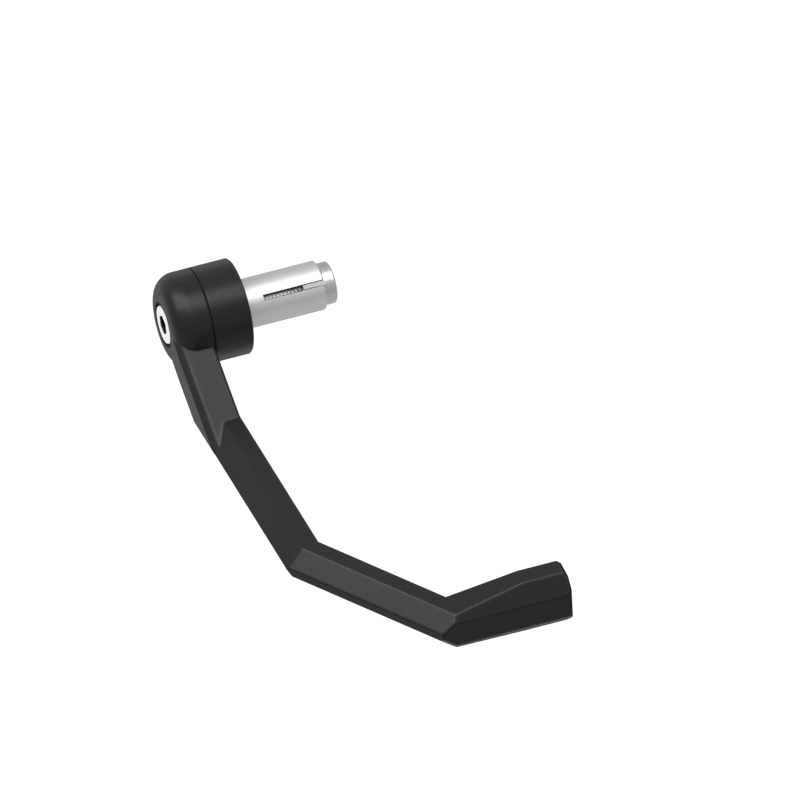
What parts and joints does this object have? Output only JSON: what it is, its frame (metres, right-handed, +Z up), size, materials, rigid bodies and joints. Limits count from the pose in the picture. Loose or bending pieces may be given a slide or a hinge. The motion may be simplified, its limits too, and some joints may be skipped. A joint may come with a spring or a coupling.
{
  "type": "lever guard",
  "caption": "Bent handlebar-end lever guard: a bevelled arm moulded with its round hub, a spacer, a socket screw and an expanding sleeve that grips inside the bar.",
  "frame": {"origin": "on the handlebar's axis at the bar's end face, where the spacer meets the bar", "axes": "+X along the bar towards the hand grip, -Y forward past the lever, +Z up, square to the level blade"},
  "size_m": [0.085, 0.1741, 0.0471],
  "materials": {
    "arm_plastic": "satin black moulding",
    "spacer_plastic": "satin black",
    "screw_steel": "bright plated",
    "sleeve_aluminium": "turned",
    "nut_steel": "turned"
  },
  "bodies": {
    "root": {"guard_arm": "arm_plastic", "end_spacer": "spacer_plastic", "clamp_screw": "screw_steel", "expander_sleeve": "sleeve_aluminium", "wedge_nut": "nut_steel"}
  },
  "joints": []
}
